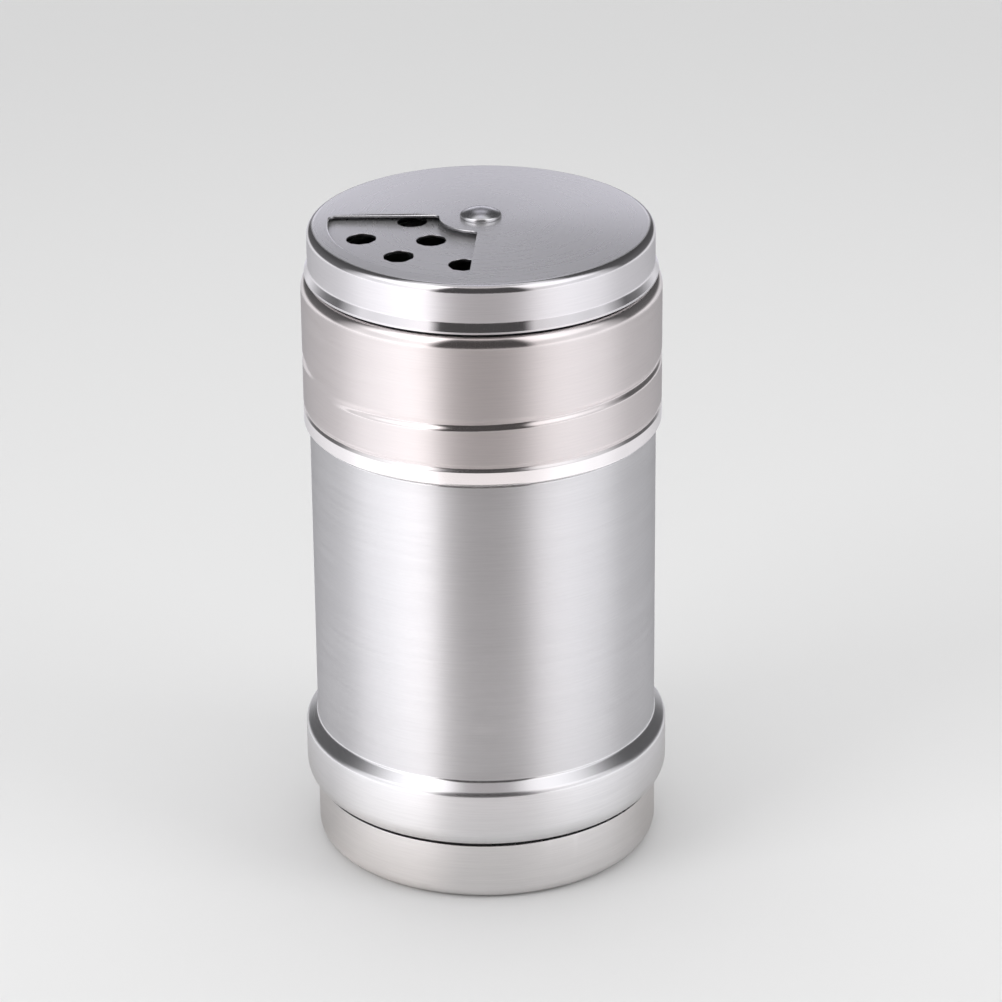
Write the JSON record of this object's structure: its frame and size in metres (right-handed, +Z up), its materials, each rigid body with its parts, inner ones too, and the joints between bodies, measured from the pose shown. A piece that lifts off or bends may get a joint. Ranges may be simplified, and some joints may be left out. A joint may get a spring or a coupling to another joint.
{
  "type": "spice shaker",
  "caption": "Round stainless steel spice shaker with a screw lid, a sprinkle plate with holes and a rotating cover with a window.",
  "frame": {"origin": "centre of the face that the shaker stands on", "axes": "+Z up along the shaker's axis, -Y towards the front, with the cover's window towards the front left"},
  "size_m": [0.0544, 0.0544, 0.1],
  "materials": {
    "can_steel": "satin, brushed around the axis",
    "foot_steel": "satin, brushed around the axis",
    "lid_steel": "satin, brushed around the axis, with polished roundings",
    "cover_steel": "satin",
    "rivet_steel": "polished",
    "spring_steel": "plain",
    "seal": "matte"
  },
  "bodies": {
    "canister": {"canister": "can_steel", "base_cup": "foot_steel"},
    "lid_carrier": {"lid_gasket": "seal"},
    "lid": {"screw_lid": "lid_steel", "pivot_rivet": "rivet_steel", "spring_washer": "spring_steel", "backing_washer": "spring_steel"},
    "cover": {"rotary_cover": "cover_steel"}
  },
  "joints": [
    {"name": "lid_lift", "type": "slide", "parent": "canister", "child": "lid_carrier", "axis": [0, 0, 1], "range_m": [0, 0.00183]},
    {"name": "lid_turn", "type": "hinge", "parent": "lid_carrier", "child": "lid", "pos_m": [0, 0, 0.08], "axis": [0, 0, 1], "range_deg": [0, 180]},
    {"name": "cover_turn", "type": "hinge", "parent": "lid", "child": "cover", "pos_m": [0, 0, 0.0984], "axis": [0, 0, 1], "continuous": true}
  ],
  "couplings": [
    {"joint": "lid_turn", "follows": "lid_lift", "rad_per_m": 1721.4}
  ]
}
